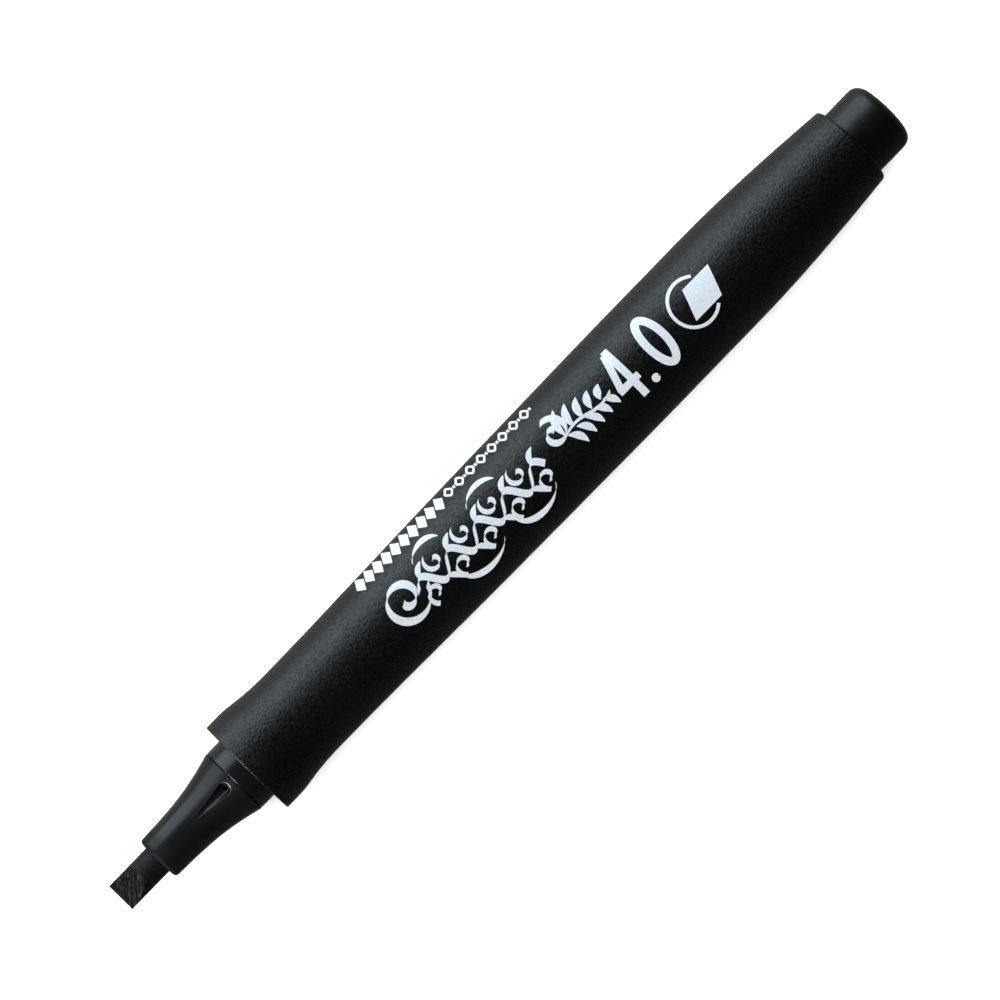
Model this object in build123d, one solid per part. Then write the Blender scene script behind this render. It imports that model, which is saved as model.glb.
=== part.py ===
from build123d import *
import os
from math import asin, atan2, cos, degrees, hypot, sin

# Broad-nib calligraphy marker without its cap, lying on its side.
# X runs along the pen with the nib at -X, and Z is up. The origin is under the middle of the
# pen's length, on the surface that it lies on.
# Sub-parts are drawn as (station, radius) about the X axis, where station 0 is the barrel's
# front face and stations grow towards the tail, and then moved to their place.

# --- driving dimensions, mm ---
BARREL_LENGTH = 104.9
RIM_R = 6.85
WAIST_R = 6.26
BELLY_R = 6.92
REAR_R = 5.68
BARREL_TURN = 1.58  # degrees that the barrel and its ribs are turned about the pen's axis

NOSE_STATION = -15.3
NOSE_R = 3.04
COLLAR_R = 4.62
CONE_END_R = 4.66
CONE_END_STATION = -2.25

NIB_R = 2.0
NIB_TIP_STATION = -21.7
NIB_REAR_STATION = 20.5
NIB_POINT_LENGTH = 6.0
NIB_POINT_R = 0.45

PLUG_R = 4.77
PLUG_END_STATION = 110.75

# --- fits and walls, mm ---
FIT_GAP = 0.03
FRONT_SOCKET_R = 5.3
FRONT_SOCKET_DEPTH = 12.4
REAR_SOCKET_R = 4.58
REAR_SOCKET_DEPTH = 6.7
BORE_FRONT_R = 5.1
BORE_REAR_R = 4.5
EDGE_ROUND = 0.15

# --- air vent in the front cone, mm ---
VENT_FINE_STATION = -9.5
VENT_FINE_R = 0.1
VENT_FINE_HEIGHT = 3.36
VENT_WIDE_STATION = -3.75
VENT_WIDE_R = 0.78
VENT_WIDE_HEIGHT = 4.38
VENT_HOLE_R = 0.3
VENT_EDGE_ROUND = 0.16

# --- ink reservoir, mm ---
RESERVOIR_R = 4.4
RESERVOIR_FILM = 0.1
RESERVOIR_START = 13.0
RESERVOIR_END = 97.6

AXIS_HEIGHT = BELLY_R
MIDDLE_STATION = (NIB_TIP_STATION + PLUG_END_STATION) / 2
UPRIGHT = Plane(origin=(0, 0, 0), x_dir=(1, 0, 0), z_dir=(0, -1, 0))


def place(shape):
    """Move a shape drawn about the X axis to where the pen lies."""
    return Pos(-MIDDLE_STATION, 0, AXIS_HEIGHT) * shape


def turned(*curves):
    """Solid of revolution about the X axis, bounded by curves in (station, radius)."""
    return revolve(make_face(curves), Axis.X, 360)


def tube(start, end, outer_r, inner_r=0.0):
    """Plain cylinder or tube along the X axis between two stations."""
    outline = Polyline((start, inner_r), (end, inner_r), (end, outer_r), (start, outer_r), close=True)
    return turned(outline)


def tapered(start, end, start_r, end_r):
    """Solid cone frustum along the X axis between two stations."""
    return turned(Polyline((start, 0), (end, 0), (end, end_r), (start, start_r), close=True))


def radial_plates(count, start, end, inner_r, outer_r, thickness, first_angle=0.0):
    """Flat plates along the pen, evenly spaced round its axis, from inner_r out to outer_r."""
    block = Box(end - start, thickness, outer_r - inner_r)
    plate = Pos((start + end) / 2, 0, (inner_r + outer_r) / 2) * block
    return [Rot(first_angle + index * 360 / count, 0, 0) * plate for index in range(count)]


def pointed_rod(start, gap=0.0):
    """The nib's rod from a station back to its pointed rear end, grown by a gap all round."""
    taper_start = NIB_REAR_STATION - NIB_POINT_LENGTH
    straight = tube(start, taper_start, NIB_R + gap)
    return straight + tapered(taper_start, NIB_REAR_STATION + gap, NIB_R + gap, NIB_POINT_R + gap)


def barrel():
    """Moulded body: flared front rim, waist, long belly, straight where it is widest, and tapering tail."""
    rim_end = (2.1, RIM_R)
    waist = (10.7, WAIST_R)
    belly_front = (70.0, BELLY_R)
    belly_rear = (82.0, BELLY_R)
    rear_round = 0.35
    rear = (BARREL_LENGTH - rear_round, REAR_R)
    face_r = RIM_R - EDGE_ROUND
    skin = [
        Line((0, 0), (0, face_r)),
        RadiusArc((0, face_r), (EDGE_ROUND, RIM_R), EDGE_ROUND),
        Line((EDGE_ROUND, RIM_R), rim_end),
        Spline(rim_end, (4.7, 6.575), (7.5, 6.3), waist, tangents=[(1, 0), (1, 0)]),
        Spline(waist, (31.7, 6.57), (53.4, 6.81), belly_front, tangents=[(1, 0), (1, 0)]),
        Line(belly_front, belly_rear),
        Spline(belly_rear, (90.0, 6.72), (97.5, 6.27), rear, tangents=[(1, 0), (1, -0.09)]),
        RadiusArc(rear, (BARREL_LENGTH, REAR_R - rear_round), rear_round),
        Line((BARREL_LENGTH, REAR_R - rear_round), (BARREL_LENGTH, 0)),
        Line((BARREL_LENGTH, 0), (0, 0)),
    ]
    rear_socket = BARREL_LENGTH - REAR_SOCKET_DEPTH
    shell = turned(*skin)
    shell -= tube(0, FRONT_SOCKET_DEPTH, FRONT_SOCKET_R)
    shell -= tapered(FRONT_SOCKET_DEPTH, rear_socket, BORE_FRONT_R, BORE_REAR_R)
    shell -= tube(rear_socket, BARREL_LENGTH, REAR_SOCKET_R)
    ribs = radial_plates(6, 14.0, 97.0, RESERVOIR_R + FIT_GAP, 5.4, 0.8)
    for rib in ribs:
        shell += rib
    return Rot(BARREL_TURN, 0, 0) * shell


def vent_cutter():
    """Scoop for air: a cone along the top of the skin, from a fine end to a round, deep end."""
    length = hypot(VENT_WIDE_STATION - VENT_FINE_STATION, VENT_WIDE_HEIGHT - VENT_FINE_HEIGHT)
    lean = asin((VENT_WIDE_R - VENT_FINE_R) / length)
    climb = degrees(atan2(VENT_WIDE_HEIGHT - VENT_FINE_HEIGHT, VENT_WIDE_STATION - VENT_FINE_STATION))
    fine_end = (-VENT_FINE_R, 0)
    fine_side = (-VENT_FINE_R * sin(lean), VENT_FINE_R * cos(lean))
    wide_side = (length - VENT_WIDE_R * sin(lean), VENT_WIDE_R * cos(lean))
    wide_end = (length + VENT_WIDE_R, 0)
    scoop = turned(
        RadiusArc(fine_end, fine_side, VENT_FINE_R),
        Line(fine_side, wide_side),
        RadiusArc(wide_side, wide_end, VENT_WIDE_R),
        Line(wide_end, fine_end),
    )
    scoop = Pos(VENT_FINE_STATION, 0, VENT_FINE_HEIGHT) * Rot(0, -climb, 0) * scoop
    hole_length = 1.6
    hole = Pos(VENT_WIDE_STATION + 0.3, 0, 3.4) * Cylinder(VENT_HOLE_R, hole_length)
    return scoop + hole


def is_vent_mouth(edge):
    """Whether an edge is where the vent meets the cone's skin."""
    box = edge.bounding_box()
    over_vent = box.min.X > VENT_FINE_STATION - 0.3 and box.max.X < -2.5 and box.min.Z > 3.2
    return over_vent and abs(box.max.Y) < 1 and box.max.Z > 3.9 and edge.length > 2


def nib_holder():
    """Front cone with the nib channel, cap collar and the skirt that fits the barrel's socket."""
    nose_round = 0.5
    groove_station = CONE_END_STATION + 0.08
    groove_r = CONE_END_R - 0.16
    collar_edge = groove_station + 0.2
    collar_round = 0.227
    skirt_end = FRONT_SOCKET_DEPTH - 0.2
    skirt_r = FRONT_SOCKET_R - FIT_GAP
    nose_face_r = NOSE_R - nose_round
    skin = [
        Line((NOSE_STATION, 0), (NOSE_STATION, nose_face_r)),
        RadiusArc((NOSE_STATION, nose_face_r), (NOSE_STATION + nose_round, NOSE_R), nose_round),
        Spline(
            (NOSE_STATION + nose_round, NOSE_R),
            (-12.8, 3.1),
            (-8.0, 3.44),
            (-4.4, 4.1),
            (CONE_END_STATION, CONE_END_R),
        ),
        Line((CONE_END_STATION, CONE_END_R), (groove_station, groove_r)),
        RadiusArc((groove_station, groove_r), (collar_edge, COLLAR_R), collar_round),
        Polyline(
            (collar_edge, COLLAR_R),
            (0, COLLAR_R),
            (0, skirt_r),
            (skirt_end - 0.4, skirt_r),
            (skirt_end, skirt_r - 0.2),
            (skirt_end, 0),
            (NOSE_STATION, 0),
        ),
    ]
    channel_r = NIB_R + FIT_GAP
    channel_end = -5.0
    throat_r = 3.0
    cup_start = 1.3
    cup_r = 4.3
    fin_end = 9.0
    holder = turned(*skin)
    holder -= tube(NOSE_STATION, channel_end, channel_r)
    holder -= tapered(NOSE_STATION, NOSE_STATION + 0.25, channel_r + 0.25, channel_r)
    holder -= tube(channel_end, cup_start, throat_r)
    holder -= tube(cup_start, skirt_end, cup_r)
    holder -= vent_cutter()
    mouth = [edge for edge in holder.edges() if is_vent_mouth(edge)]
    holder = holder.fillet(VENT_EDGE_ROUND, mouth)
    fins = radial_plates(4, channel_end - 0.1, cup_start, channel_r, throat_r + 0.1, 0.7, 45)
    fins += radial_plates(4, cup_start, fin_end, channel_r, cup_r + 0.1, 0.7, 45)
    for fin in fins:
        holder += fin
    return holder


def nib():
    """Fibre rod with a two-sided chisel edge in front and a point that stabs the reservoir."""
    bevel_length = 3.7
    edge_half = 0.16
    rod = pointed_rod(NIB_TIP_STATION)
    bevel = Polyline(
        (NIB_TIP_STATION, edge_half),
        (NIB_TIP_STATION + bevel_length, NIB_R),
        (NIB_TIP_STATION + bevel_length, NIB_R + 1),
        (NIB_TIP_STATION, NIB_R + 1),
        close=True,
    )
    wedge = extrude(UPRIGHT * make_face(bevel), amount=NIB_R + 1, both=True)
    rod -= wedge
    rod -= Rot(180, 0, 0) * wedge
    return rod


def reservoir_core():
    """Fibre core that holds the ink, with the hollow that the nib's point makes in its front end."""
    film_gap = 0.01
    core = tube(RESERVOIR_START, RESERVOIR_END, RESERVOIR_R - RESERVOIR_FILM - film_gap)
    return core - pointed_rod(RESERVOIR_START, FIT_GAP)


def reservoir_film():
    """Thin film wrapped round the reservoir's core, open at both ends."""
    return tube(RESERVOIR_START, RESERVOIR_END, RESERVOIR_R, RESERVOIR_R - RESERVOIR_FILM)


def tail_plug():
    """Round cup pushed into the barrel's rear socket, with a cross inside that stops the reservoir."""
    end_round = 1.5
    end_r = PLUG_R - end_round
    skirt_r = REAR_SOCKET_R - FIT_GAP
    skirt_start = BARREL_LENGTH - REAR_SOCKET_DEPTH + 0.2
    cup_r = 3.7
    cup_end = PLUG_END_STATION - 1.3
    skin = [
        Polyline(
            (PLUG_END_STATION, 0),
            (skirt_start, 0),
            (skirt_start, skirt_r - 0.2),
            (skirt_start + 0.4, skirt_r),
            (BARREL_LENGTH, skirt_r),
            (BARREL_LENGTH, PLUG_R),
            (PLUG_END_STATION - end_round, PLUG_R),
        ),
        RadiusArc((PLUG_END_STATION - end_round, PLUG_R), (PLUG_END_STATION, end_r), end_round),
        Line((PLUG_END_STATION, end_r), (PLUG_END_STATION, 0)),
    ]
    plug = turned(*skin)
    plug -= tube(skirt_start, cup_end, cup_r)
    for web in radial_plates(4, RESERVOIR_END + 0.2, cup_end + 0.1, 0.0, cup_r + 0.1, 0.8, 45):
        plug += web
    return plug


os.makedirs("parts", exist_ok=True)
for name, make in (
    ("barrel", barrel),
    ("nib_holder", nib_holder),
    ("nib", nib),
    ("reservoir_core", reservoir_core),
    ("reservoir_film", reservoir_film),
    ("tail_plug", tail_plug),
):
    export_step(place(make()), "parts/" + name + ".step")
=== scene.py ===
import math

import bmesh
import bpy
from mathutils import Matrix, Vector, noise
from mathutils.bvhtree import BVHTree


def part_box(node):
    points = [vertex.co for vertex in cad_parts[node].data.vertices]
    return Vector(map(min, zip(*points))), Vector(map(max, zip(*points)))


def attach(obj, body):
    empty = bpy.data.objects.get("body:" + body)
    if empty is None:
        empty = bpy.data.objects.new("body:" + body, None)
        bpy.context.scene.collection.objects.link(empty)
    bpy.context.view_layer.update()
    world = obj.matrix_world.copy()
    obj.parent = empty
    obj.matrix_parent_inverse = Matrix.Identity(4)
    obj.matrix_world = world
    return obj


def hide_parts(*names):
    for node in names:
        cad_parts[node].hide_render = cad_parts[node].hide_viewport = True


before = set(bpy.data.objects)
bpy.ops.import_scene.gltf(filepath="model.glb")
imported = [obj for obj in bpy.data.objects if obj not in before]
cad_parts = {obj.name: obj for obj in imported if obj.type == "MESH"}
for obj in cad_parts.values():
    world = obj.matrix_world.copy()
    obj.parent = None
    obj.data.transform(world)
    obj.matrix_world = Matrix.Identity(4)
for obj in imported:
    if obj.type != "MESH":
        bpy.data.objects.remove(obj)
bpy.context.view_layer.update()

# A calligraphy marker lying on its side: X along the pen with the nib at -X, Z up.
# Places along the pen are stations, in millimetres from the barrel's front face towards the
# tail. Other small lengths are in millimetres too, and are turned into the frame's metres by
# the functions that use them. The camera, the lights and the floor are placed in metres.
MM = 0.001
barrel_low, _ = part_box("barrel")
nib_low, nib_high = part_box("nib")
FACE_X = barrel_low.x
AXIS_Z = (nib_low.z + nib_high.z) / 2

# --- where the looks of the front pieces change, each from one station to another ---
BEVEL_ENDS = (-18.4, -17.9)
NOSE_TIP = (-15.1, -14.7)
NOSE_ROUND = (-14.95, -14.55)
NOSE_BAND_ENDS = (-13.6, -13.0)
CONE_FADE = (-9.0, -3.2)
COLLAR_STARTS = (-2.3, -2.0)

# --- the printed ink, mm ---
INK_LIFT = 0.012
INK_LIFT_STEP = 0.001
INK_BOTTOM = -0.015
ACROSS_STEP = 0.24
ALONG_STEP = 0.2

# --- the fibre nib's relief, mm ---
STREAK_DEPTH = 0.03
SPECK_DEPTH = 0.012
BEVEL_SPECK_DEPTH = 0.035
BEVEL_CUT_DEPTH = 0.085
BEVEL_EDGE_WIDTH = 0.16


def on_axis(station):
    """Point on the pen's axis at a station in millimetres."""
    return Vector((FACE_X + station * MM, 0, AXIS_Z))


def placed(name, data):
    """A new object in the scene, made of a mesh, a light or a camera."""
    made = bpy.data.objects.new(name, data)
    bpy.context.scene.collection.objects.link(made)
    return made


def mesh_from(name, made):
    """A mesh from a bmesh whose faces are first turned outwards."""
    bmesh.ops.recalc_face_normals(made, faces=made.faces)
    mesh = bpy.data.meshes.new(name)
    made.to_mesh(mesh)
    made.free()
    return mesh


# ---------------------------------------------------------------- camera

def add_camera():
    """Long lens almost straight down, with the nib at the lower left of the picture."""
    pen_tilt = math.radians(45.87)
    target = on_axis(44.33) + Vector((0, 0.57 * MM, 0))
    place = on_axis(9.1) + Vector((0, -0.028, 0.685))
    back = (place - target).normalized()
    along = Vector((1, 0, 0))
    along = (along - back * along.dot(back)).normalized()
    across = back.cross(along)
    right = along * math.cos(pen_tilt) - across * math.sin(pen_tilt)
    up = back.cross(right)
    data = bpy.data.cameras.new("camera")
    data.sensor_width = 36
    data.lens = 205
    data.clip_start = 0.01
    data.clip_end = 50
    camera = placed("camera", data)
    turn = Matrix((right, up, back)).transposed()
    camera.matrix_world = Matrix.Translation(place) @ turn.to_4x4()
    bpy.context.scene.camera = camera


# ---------------------------------------------------------------- materials

class Look:
    """A node material with one Principled shader, and short ways to add nodes to it.

    Its colour and roughness are plain values, unless a node is fed to them."""

    def __init__(self, name, color, roughness):
        self.material = bpy.data.materials.new(name)
        self.material.use_nodes = True
        self.tree = self.material.node_tree
        self.shader = self.tree.nodes["Principled BSDF"]
        self.set("Base Color", (*color, 1))
        self.set("Roughness", roughness)
        self.place = self.node("ShaderNodeTexCoord").outputs["Object"]
        self.relief = None

    def node(self, kind, **values):
        made = self.tree.nodes.new(kind)
        for name, value in values.items():
            setattr(made, name, value)
        return made

    def join(self, output, target):
        self.tree.links.new(output, target)

    def set(self, name, value):
        """Gives one of the shader's own sockets a value."""
        self.shader.inputs[name].default_value = value

    def feed(self, name, output):
        """Joins a node's output to one of the shader's sockets."""
        self.join(output, self.shader.inputs[name])

    def stretched(self, x=1.0, y=1.0, z=1.0):
        """Object coordinates scaled along each axis, for grain that runs one way."""
        mapping = self.node("ShaderNodeMapping")
        mapping.inputs["Scale"].default_value = (x, y, z)
        self.join(self.place, mapping.inputs["Vector"])
        return mapping.outputs["Vector"]

    def slanted(self, turn, stretch):
        """Object coordinates for grain stretched along a line turned from X, seen from above."""
        mapping = self.node("ShaderNodeMapping", vector_type="TEXTURE")
        mapping.inputs["Rotation"].default_value = (0, 0, math.radians(turn))
        mapping.inputs["Scale"].default_value = (stretch, 1, 1)
        self.join(self.place, mapping.inputs["Vector"])
        return mapping.outputs["Vector"]

    def noise(self, size_mm, detail=2.0, roughness=0.5, place=None):
        """Noise whose blobs are about size_mm across, from 0 to 1."""
        made = self.node("ShaderNodeTexNoise")
        made.inputs["Scale"].default_value = 1 / (size_mm * MM)
        made.inputs["Detail"].default_value = detail
        made.inputs["Roughness"].default_value = roughness
        self.join(place or self.place, made.inputs["Vector"])
        return made.outputs["Fac"]

    def between(self, factor, low, high, from_low=0.0, from_high=1.0):
        """A number from low to high as factor goes from from_low to from_high."""
        made = self.node("ShaderNodeMapRange")
        made.inputs["From Min"].default_value = from_low
        made.inputs["From Max"].default_value = from_high
        made.inputs["To Min"].default_value = low
        made.inputs["To Max"].default_value = high
        self.join(factor, made.inputs["Value"])
        return made.outputs["Result"]

    def along_pen(self, low, high, stations):
        """A number from low to high between two stations, and level before and after them."""
        split = self.node("ShaderNodeSeparateXYZ")
        self.join(self.place, split.inputs["Vector"])
        station = self.math("SUBTRACT", split.outputs["X"], FACE_X)
        first, last = stations
        return self.between(station, low, high, first * MM, last * MM)

    def color_between(self, factor, low, high, from_low=0.3, from_high=0.7):
        """A colour from low to high as factor goes from from_low to from_high."""
        ramp = self.node("ShaderNodeValToRGB")
        ramp.color_ramp.elements[0].position = from_low
        ramp.color_ramp.elements[0].color = (*low, 1)
        ramp.color_ramp.elements[1].position = from_high
        ramp.color_ramp.elements[1].color = (*high, 1)
        self.join(factor, ramp.inputs["Fac"])
        return ramp.outputs["Color"]

    def math(self, operation, first, second):
        made = self.node("ShaderNodeMath", operation=operation)
        for value, socket in zip((first, second), made.inputs):
            if isinstance(value, (int, float)):
                socket.default_value = value
            else:
                self.join(value, socket)
        return made.outputs["Value"]

    def total(self, first, *others):
        """The sum of some numbers."""
        for other in others:
            first = self.math("ADD", first, other)
        return first

    def bump(self, height, depth_mm):
        """Adds a relief of depth_mm over the relief that is there already."""
        made = self.node("ShaderNodeBump")
        made.inputs["Strength"].default_value = 1
        made.inputs["Distance"].default_value = depth_mm * MM
        self.join(height, made.inputs["Height"])
        if self.relief:
            self.join(self.relief, made.inputs["Normal"])
        self.relief = made.outputs["Normal"]
        self.feed("Normal", self.relief)


def barrel_look():
    """Black polypropylene with a fine satin spark-eroded texture."""
    look = Look("barrel_satin", (0.002, 0.0023, 0.0023), 0.48)
    grain = look.noise(0.34, detail=2, roughness=0.55)
    look.bump(grain, depth_mm=0.085)
    look.bump(look.noise(0.13, detail=2, roughness=0.6), depth_mm=0.014)
    look.feed("Roughness", look.between(grain, 0.26, 0.56, from_low=0.34, from_high=0.66))
    look.set("Specular IOR Level", 0.48)
    wear = look.noise(6.0, detail=3, roughness=0.6, place=look.stretched(x=0.3))
    tint = look.color_between(wear, (0.0014, 0.0016, 0.0016), (0.0028, 0.0032, 0.0032))
    look.feed("Base Color", tint)
    return look.material


def holder_look():
    """Black moulded plastic: satin with a thin gloss over it, and matte on the nose band."""
    look = Look("holder_gloss", (0.002, 0.0021, 0.0022), 0.4)
    nose_band = look.along_pen(0.52, 0.4, NOSE_BAND_ENDS)
    nose_tip = look.along_pen(0.36, 0, NOSE_TIP)
    drift = look.between(look.noise(1.6, detail=2), -0.03, 0.05)
    look.feed("Roughness", look.total(nose_band, nose_tip, drift))
    look.set("Specular IOR Level", 0.14)
    nose_gloss = look.along_pen(0.01, 0.3, NOSE_ROUND)
    cone_gloss = look.along_pen(0, 0.22, NOSE_BAND_ENDS)
    fade = look.along_pen(0, -0.24, CONE_FADE)
    collar_gloss = look.along_pen(0, 0.4, COLLAR_STARTS)
    look.feed("Coat Weight", look.total(nose_gloss, cone_gloss, fade, collar_gloss))
    look.set("Coat Roughness", 0.24)
    look.bump(look.noise(2.4, detail=2, place=look.stretched(x=0.4)), depth_mm=0.006)
    look.bump(look.noise(0.12, detail=2, roughness=0.6), depth_mm=0.0008)
    tint = look.color_between(look.noise(4.0), (0.0014, 0.0015, 0.0016), (0.0026, 0.0028, 0.003))
    look.feed("Base Color", tint)
    return look.material


def plug_look():
    """Black polypropylene, a little smoother than the barrel, with faint turning marks."""
    look = Look("plug_satin", (0.0022, 0.0022, 0.0023), 0.45)
    grain = look.noise(0.26, detail=3, roughness=0.6)
    look.bump(grain, depth_mm=0.007)
    marks = look.noise(0.2, detail=2, place=look.stretched(6, 0.4, 0.4))
    look.bump(marks, depth_mm=0.002)
    look.feed("Roughness", look.between(grain, 0.3, 0.52, from_low=0.34, from_high=0.66))
    tint = look.color_between(look.noise(3.0), (0.0016, 0.0016, 0.0017), (0.003, 0.003, 0.0031))
    look.feed("Base Color", tint)
    return look.material


def nib_look():
    """Bonded fibre soaked with black ink: dark, with pale specks, and scored across the bevels."""
    look = Look("nib_fibre", (0.008, 0.0085, 0.0085), 0.5)
    fibres = look.noise(0.12, detail=4, roughness=0.7, place=look.stretched(x=0.12))
    specks = look.noise(0.22, detail=3, roughness=0.7)
    scored = look.noise(0.3, detail=2, place=look.slanted(turn=45, stretch=7))
    cuts = look.math("MULTIPLY", look.math("SUBTRACT", scored, 0.53), 1.2)
    on_bevel = look.along_pen(1, 0, BEVEL_ENDS)
    mixed = look.math("MULTIPLY", look.total(fibres, specks), 0.5)
    mixed = look.total(mixed, look.math("MULTIPLY", cuts, on_bevel))
    dark, pale = (0.0006, 0.0007, 0.0007), (0.024, 0.025, 0.0235)
    look.feed("Base Color", look.color_between(mixed, dark, pale, from_low=0.43, from_high=0.74))
    roughness = look.between(mixed, 0.75, 0.46, from_low=0.4, from_high=0.65)
    look.feed("Roughness", look.total(roughness, look.math("MULTIPLY", on_bevel, 0.22)))
    look.set("Specular IOR Level", 0.32)
    look.bump(fibres, depth_mm=0.03)
    look.bump(specks, depth_mm=0.02)
    return look.material


def reservoir_look():
    """Bundle of fine fibres along the pen, soaked with black ink."""
    look = Look("reservoir_fibre", (0.02, 0.02, 0.024), 0.7)
    fibres = look.noise(0.14, detail=3, roughness=0.65, place=look.stretched(x=0.04))
    look.feed("Base Color", look.color_between(fibres, (0.006, 0.006, 0.008), (0.05, 0.05, 0.06)))
    look.bump(fibres, depth_mm=0.05)
    return look.material


def film_look():
    """Thin milky film, stained where ink shows through it."""
    look = Look("reservoir_film", (0.5, 0.52, 0.54), 0.25)
    stain = look.noise(5.0, detail=4, roughness=0.6, place=look.stretched(x=0.25))
    look.feed("Base Color", look.color_between(stain, (0.16, 0.17, 0.2), (0.6, 0.62, 0.64)))
    wrinkles = look.noise(1.5, detail=3, roughness=0.6, place=look.stretched(x=0.2))
    look.bump(wrinkles, depth_mm=0.03)
    look.set("Alpha", 0.75)
    return look.material


def print_look():
    """White pad-printed ink: slightly cool, with a trace of the barrel's grain through it."""
    look = Look("print_white", (0.8, 0.83, 0.87), 0.5)
    grain = look.noise(0.3, detail=3, roughness=0.6)
    look.feed("Base Color", look.color_between(grain, (0.7, 0.75, 0.83), (0.92, 0.95, 1.0)))
    look.feed("Roughness", look.between(grain, 0.45, 0.6, from_low=0.3, from_high=0.7))
    look.bump(grain, depth_mm=0.006)
    return look.material


def floor_look():
    """Pale seamless paper."""
    look = Look("floor_paper", (0.86, 0.86, 0.86), 0.9)
    tone = look.noise(400.0, detail=2)
    look.feed("Base Color", look.color_between(tone, (0.86, 0.86, 0.86), (0.89, 0.89, 0.89)))
    look.bump(look.noise(0.9, detail=3), depth_mm=0.02)
    look.set("Specular IOR Level", 0.1)
    return look.material


# ---------------------------------------------------------------- pen strokes

# A stroke is a tuple: its path, the nib's edge, the least thickness, and whether it is tapered.
# Its points are (station, side), where side is the distance from the print's middle line.
ROUND_NIB = Vector((0, 0))


def broad(width, angle=38):
    """The edge of a broad nib held at an angle, as a vector."""
    return Vector((math.cos(math.radians(angle)), math.sin(math.radians(angle)))) * width


def curve(function, length):
    """Points of a function of t, for t from 0 to 1, evenly spread over a line of that length."""
    steps = max(6, math.ceil(length / ALONG_STEP))
    return [Vector(function(step / steps)) for step in range(steps + 1)]


def straight(first, last):
    first, last = Vector(first), Vector(last)
    return curve(lambda t: first.lerp(last, t), (last - first).length)


def arc(centre, radii, first_angle, last_angle):
    """Part of an ellipse, angles in degrees."""
    def point(t):
        angle = math.radians(first_angle + (last_angle - first_angle) * t)
        return centre[0] + radii[0] * math.cos(angle), centre[1] + radii[1] * math.sin(angle)
    return curve(point, max(radii) * math.radians(abs(last_angle - first_angle)))


def scroll(centre, inner_r, outer_r, first_angle, turn):
    """A volute: a spiral from the inner radius to the outer one. Angles are in degrees."""
    def point(t):
        angle = math.radians(first_angle + turn * t)
        reach = inner_r + (outer_r - inner_r) * t ** 0.8
        return centre[0] + reach * math.cos(angle), centre[1] + reach * math.sin(angle)
    return curve(point, (inner_r + 2 * outer_r) / 3 * math.radians(abs(turn)))


def vine(start, end, middle, rise, waves):
    """A wave that runs from one station to another."""
    def point(t):
        return start + (end - start) * t, middle + rise * math.sin(2 * math.pi * waves * t)
    return curve(point, math.hypot(end - start, 4 * rise * waves))


def leaf(root, tip, width):
    """A pointed leaf, as a stroke that bends a little on its way from root to tip."""
    root, tip = Vector(root), Vector(tip)
    way = tip - root
    bend = Vector((-way.y, way.x)) * 0.14
    path = curve(lambda t: root.lerp(tip, t) + bend * math.sin(math.pi * t), way.length)
    return path, ROUND_NIB, width, True


def stroke_rows(path, edge, thickness, tapered=False):
    """Rows of points across a pen stroke along path. edge is the nib's edge, zero for a round nib.

    A tapered stroke swells from a fine start and ends fine again."""
    across = max(3, math.ceil((edge.length + thickness) / ACROSS_STEP))
    last = len(path) - 1
    fine = 0.12
    rows = []
    for index, point in enumerate(path):
        before = path[max(index - 1, 0)]
        after = path[min(index + 1, last)]
        way = (after - before).normalized()
        side = Vector((-way.y, way.x))
        if edge.dot(side) < 0:
            side = -side
        swell = fine + (1 - fine) * math.sin(math.pi * index / last) if tapered else 1
        half = (edge / 2 + side * thickness / 2) * swell
        rows.append([point + half * (2 * step / across - 1) for step in range(across + 1)])
    return rows


# ---------------------------------------------------------------- what is printed

def flourish():
    """A calligrapher's scrolled vine drawn with a broad nib, then a leafy sprig."""
    stem = -0.25
    strokes = [
        (scroll((27.6, 0.4), 0.5, 3.2, 200, 510), broad(0.85), 0.14),
        (vine(29.4, 50.9, stem, 1.25, 4.5), broad(0.76), 0.14),
    ]
    for index in range(9):
        x = 30.8 + index * 2.378
        up = 1 if index % 2 else -1
        curl = scroll((x + 0.1, stem + 1.5 * up), 0.2, 1.35, 80 * up, -320 * up)
        strokes.append((curl, broad(0.5), 0.12))
        strokes.append(leaf((x - 0.3, stem - 0.9 * up), (x + 1.3, stem - 2.6 * up), 0.72))
    strokes += [
        (arc((38.0, -1.9), (3.6, 2.3), 190, 335), broad(0.85), 0.14, True),
        (arc((47.0, -1.9), (3.4, 2.3), 190, 340), broad(0.85), 0.14, True),
        (arc((33.6, 2.0), (2.5, 1.9), 160, 30), broad(0.8), 0.12, True),
        (arc((43.0, 2.0), (2.7, 1.9), 160, 30), broad(0.8), 0.12, True),
        (scroll((54.2, 1.5), 0.25, 2.0, 30, 430), broad(0.7), 0.12),
        (vine(54.9, 62.5, 0.2, 0.35, 1.0), broad(0.3), 0.16),
    ]
    for index in range(5):
        x = 55.0 + index * 1.5
        strokes.append(leaf((x, 0.3), (x + 1.1, 3.5 - 0.42 * index), 0.98))
        strokes.append(leaf((x + 0.2, 0.1), (x + 1.5, -2.2 + 0.14 * index), 0.94))
    return strokes


def border():
    """A row of broad-nib lozenges, the measure of a letter's height, then open ones with dots."""
    strokes = []
    for index in range(10):
        x = 24.8 + index * 1.5
        strokes.append((straight((x, 4.9), (x + 0.75, 6.05)), broad(0.98, -38), 0.12))
    middle = 5.65
    for index in range(8):
        x = 40.5 + index * 1.86
        left, right = (x - 0.6, middle), (x + 0.6, middle)
        corners = [left, (x, 6.2), right, (x, 5.1), left]
        for first, last in zip(corners, corners[1:]):
            strokes.append((straight(first, last), ROUND_NIB, 0.26))
        strokes.append((straight((x + 0.78, middle), (x + 1.08, middle)), ROUND_NIB, 0.34))
    return strokes


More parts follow.
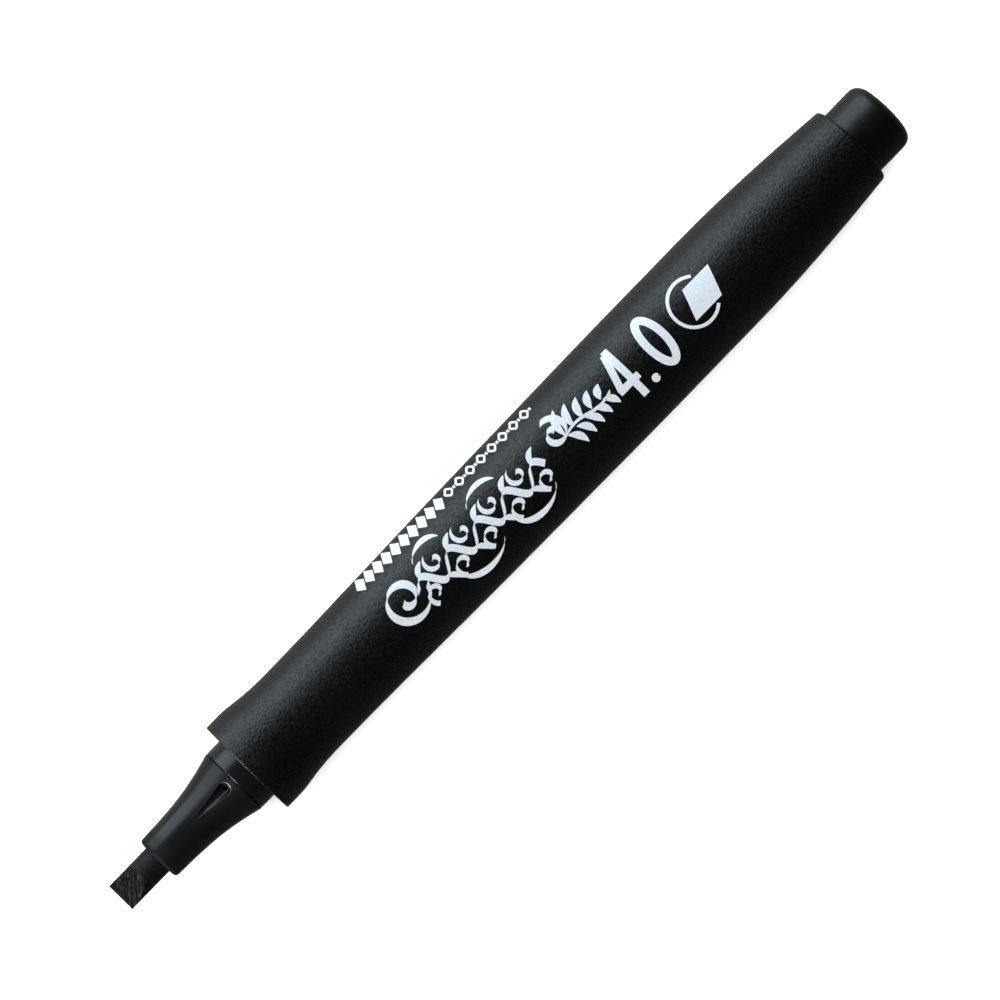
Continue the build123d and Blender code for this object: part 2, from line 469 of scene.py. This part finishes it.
def size_mark():
    """The nib's width, 4.0, in plain rounded figures."""
    return [
        (straight((65.05, 3.7), (63.45, -0.85)), ROUND_NIB, 0.9),
        (straight((63.1, -0.85), (66.4, -0.85)), ROUND_NIB, 0.9),
        (straight((65.4, 4.1), (65.4, -3.25)), ROUND_NIB, 0.95),
        (arc((67.55, -2.65), (0.28, 0.28), 0, 360), ROUND_NIB, 0.56),
        (arc((70.65, 0.45), (1.25, 3.25), 0, 360), ROUND_NIB, 1.0),
    ]


def stroke_sign():
    """An open ring with one broad stroke of the nib across its side."""
    return [
        (arc((77.15, 0.5), (3.05, 3.1), 48, 312), ROUND_NIB, 0.42),
        (straight((76.5, 0.5), (80.9, 0.5)), broad(4.0, 68), 0.1),
    ]


# ---------------------------------------------------------------- ink on the barrel

class BarrelSkin:
    """The barrel's outer surface, as a flat printing pad meets it."""

    def __init__(self):
        made = bmesh.new()
        made.from_mesh(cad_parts["barrel"].data)
        self.tree = BVHTree.FromBMesh(made)
        made.free()

    def hit(self, station, angle):
        """Point of the skin at an angle from straight up, and the way out from the axis there."""
        out = Vector((0, math.sin(angle), math.cos(angle)))
        well_outside = 0.02
        start = on_axis(station) + out * well_outside
        return self.tree.ray_cast(start, -out)[0], out

    def point(self, station, side, lift):
        """Point lift over the skin, side from the print's middle line, which faces a flat pad."""
        top, _ = self.hit(station, 0)
        middle_line = math.radians(2.3)
        angle = math.asin(side * MM / (top.z - AXIS_Z)) - middle_line
        found, out = self.hit(station, angle)
        return found + out * lift * MM


def add_print(name, strokes, skin, ink):
    """One printed mark: closed layers of ink, about 0.03 mm thick, that lie on the barrel's skin.

    Neighbouring strokes are lifted a little differently, so that they don't lie in one surface
    where they cross."""
    made = bmesh.new()
    for count, stroke in enumerate(strokes):
        rows = stroke_rows(*stroke)
        layers = []
        for lift in (INK_LIFT + INK_LIFT_STEP * (count % 5), INK_BOTTOM):
            layer = [[made.verts.new(skin.point(*spot, lift)) for spot in row] for row in rows]
            layers.append(layer)
        add_slab(made, *layers)
    mark = placed(name, mesh_from(name, made))
    mark.data.materials.append(ink)
    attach(mark, "barrel")
    return mark


def add_slab(made, upper, lower):
    """Faces that close the space between two grids of the same size."""
    last = len(upper) - 1
    across = len(upper[0]) - 1

    def add(*corners):
        made.faces.new([layer[i][j] for layer, i, j in corners])

    for i in range(last):
        for j in range(across):
            add((upper, i, j), (upper, i, j + 1), (upper, i + 1, j + 1), (upper, i + 1, j))
            add((lower, i, j), (lower, i + 1, j), (lower, i + 1, j + 1), (lower, i, j + 1))
        add((upper, i, 0), (upper, i + 1, 0), (lower, i + 1, 0), (lower, i, 0))
        add((upper, i, across), (lower, i, across), (lower, i + 1, across), (upper, i + 1, across))
    for j in range(across):
        add((upper, 0, j), (lower, 0, j), (lower, 0, j + 1), (upper, 0, j + 1))
        add((upper, last, j), (upper, last, j + 1), (lower, last, j + 1), (lower, last, j))


# ---------------------------------------------------------------- the fibre nib

def smooth_noise(spot):
    """Smooth noise at a spot, from 0 to 1."""
    return 0.5 + 0.5 * noise.noise(spot)


def nib_point(along, angle, skin_r, height):
    """Point of the nib's rough skin, along from its tip and at an angle round its axis.

    skin_r is the rod's radius there, and height is how far a bevel is from the axis."""
    y = skin_r * math.cos(angle)
    z = skin_r * math.sin(angle)
    cut_away = abs(z) - height
    z = max(-height, min(height, z))
    seed = Vector((along, y, z)) / MM
    streak = smooth_noise(Vector((seed.x * 0.9, seed.y * 5, seed.z * 5)))
    speck = smooth_noise(seed * 3.1 + Vector((7, 3, 1)))
    if cut_away > 0:
        cut = smooth_noise(Vector(((seed.x - seed.y) * 2.3, (seed.x + seed.y) * 0.35, seed.z)))
        depth = BEVEL_SPECK_DEPTH * speck + BEVEL_CUT_DEPTH * cut
        depth *= min(1, cut_away / (BEVEL_EDGE_WIDTH * MM))
        z -= math.copysign(depth * MM, z)
    depth = (STREAK_DEPTH * streak + SPECK_DEPTH * speck) * MM
    shrink = 1 - depth / skin_r
    return nib_low.x + along, y * shrink, AXIS_Z + z * shrink


def fibre_nib():
    """The nib with real fibre relief: a rod with a chisel front and a pointed rear."""
    length = nib_high.x - nib_low.x
    radius = (nib_high.z - nib_low.z) / 2
    bevel_length = 3.7 * MM
    edge_half = 0.16 * MM
    point_length = 6.0 * MM
    point_r = 0.45 * MM
    around = 144
    front_rings = 60
    rear_rings = 150
    front = bevel_length * 1.6  # where the rings are close together, to past the bevels' ends
    rear = length - front
    places = [front * i / front_rings for i in range(front_rings)]
    places += [front + rear * i / rear_rings for i in range(rear_rings + 1)]
    made = bmesh.new()
    rings = []
    for along in places:
        height = edge_half + (radius - edge_half) * along / bevel_length
        taper = min(1.0, (length - along) / point_length)
        skin_r = point_r + (radius - point_r) * taper
        angles = [2 * math.pi * step / around for step in range(around)]
        rings.append([made.verts.new(nib_point(along, angle, skin_r, height)) for angle in angles])
    for first, second in zip(rings, rings[1:]):
        for step in range(around):
            after = (step + 1) % around
            made.faces.new((first[step], second[step], second[after], first[after]))
    made.faces.new(rings[0])
    made.faces.new(list(reversed(rings[-1])))
    piece = placed("fibre_nib", mesh_from("fibre_nib", made))
    piece.data.shade_smooth()
    piece.data.materials.append(nib_look())
    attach(piece, "nib")
    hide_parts("nib")
    return piece


# ---------------------------------------------------------------- studio

def add_floor():
    """Pale paper, kept out of glossy reflections so that the pen's lower side stays dark."""
    half = 3.0
    corners = [(-half, -half, 0), (half, -half, 0), (half, half, 0), (-half, half, 0)]
    mesh = bpy.data.meshes.new("floor")
    mesh.from_pydata(corners, [], [(0, 1, 2, 3)])
    floor = placed("floor", mesh)
    mesh.materials.append(floor_look())
    floor.visible_glossy = False
    return floor


def add_area(name, place, target, size, power, color=(1, 1, 1), only=None):
    """A rectangular soft light. only, if given, is a list of the objects that it lights."""
    data = bpy.data.lights.new(name, "AREA")
    data.shape = "RECTANGLE"
    data.size, data.size_y = size
    data.energy = power
    data.color = color
    light = placed(name, data)
    light.location = place
    light.rotation_mode = "QUATERNION"
    light.rotation_quaternion = (Vector(target) - Vector(place)).to_track_quat("-Z", "Y")
    if only:
        lit = bpy.data.collections.new(name + "_lights")
        for one in only:
            lit.objects.link(one)
        light.light_linking.receiver_collection = lit


def add_lights(nib_piece, marks, floor):
    """A large soft key on the +Y side, small lights beyond the nib, and fills from above."""
    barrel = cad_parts["barrel"]
    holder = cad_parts["nib_holder"]
    middle = (0, 0, 0)
    add_area("key", (-0.05, 0.64, 0.3), (-0.03, 0, 0.02), (1.25, 0.66), 7.3, (0.78, 0.92, 1.0))
    beyond_nib = (-0.85, 0.04, 0.17)
    add_area("rim", beyond_nib, (0, 0, 0.01), (0.1, 0.26), 7, (0.95, 0.97, 1.0), [barrel, nib_piece])
    over_nib = (-0.76, 0.04, 0.35)
    add_area("glint", over_nib, (-0.05, 0, 0.01), (0.12, 0.16), 16, (0.9, 0.95, 1.0), [holder])
    add_area("top", (-0.35, 0.42, 0.9), middle, (0.5, 0.6), 0.3, only=[barrel])
    add_area("print_fill", (0.1, -0.5, 0.9), middle, (0.6, 0.6), 6.5, only=marks)
    add_area("floor_fill", (-0.3, 0.2, 1.6), middle, (2.4, 2.4), 110, only=[floor])


def add_room():
    """A dim room, brighter towards +Y, and almost dark from the horizon up."""
    world = bpy.data.worlds.new("room")
    world.use_nodes = True
    tree = world.node_tree
    background = tree.nodes["Background"]
    view = tree.nodes.new("ShaderNodeTexCoord")
    split = tree.nodes.new("ShaderNodeSeparateXYZ")
    side = tree.nodes.new("ShaderNodeMapRange")
    side.inputs["From Min"].default_value = -0.6
    side.inputs["From Max"].default_value = 0.6
    side.inputs["To Min"].default_value = 0.08
    side.inputs["To Max"].default_value = 0.42
    level = tree.nodes.new("ShaderNodeMapRange")
    level.inputs["From Min"].default_value = -0.1
    level.inputs["From Max"].default_value = 0.03
    level.inputs["To Max"].default_value = 0.045
    tree.links.new(view.outputs["Generated"], split.inputs["Vector"])
    tree.links.new(split.outputs["Y"], side.inputs["Value"])
    tree.links.new(split.outputs["Z"], level.inputs["Value"])
    tree.links.new(side.outputs["Result"], level.inputs["To Min"])
    tree.links.new(level.outputs["Result"], background.inputs["Strength"])
    background.inputs["Color"].default_value = (0.95, 0.98, 1, 1)
    bpy.context.scene.world = world


# ---------------------------------------------------------------- the whole scene

ink = print_look()
add_camera()
for node, make in (
    ("barrel", barrel_look),
    ("nib_holder", holder_look),
    ("tail_plug", plug_look),
    ("reservoir_core", reservoir_look),
    ("reservoir_film", film_look),
):
    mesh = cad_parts[node].data
    mesh.materials.clear()
    mesh.materials.append(make())
nib_piece = fibre_nib()
skin = BarrelSkin()
marks = [
    add_print("print_flourish", flourish(), skin, ink),
    add_print("print_border", border(), skin, ink),
    add_print("print_size_mark", size_mark(), skin, ink),
    add_print("print_stroke_sign", stroke_sign(), skin, ink),
]
floor = add_floor()
add_lights(nib_piece, marks, floor)
add_room()
bpy.context.scene.view_settings.view_transform = "Standard"
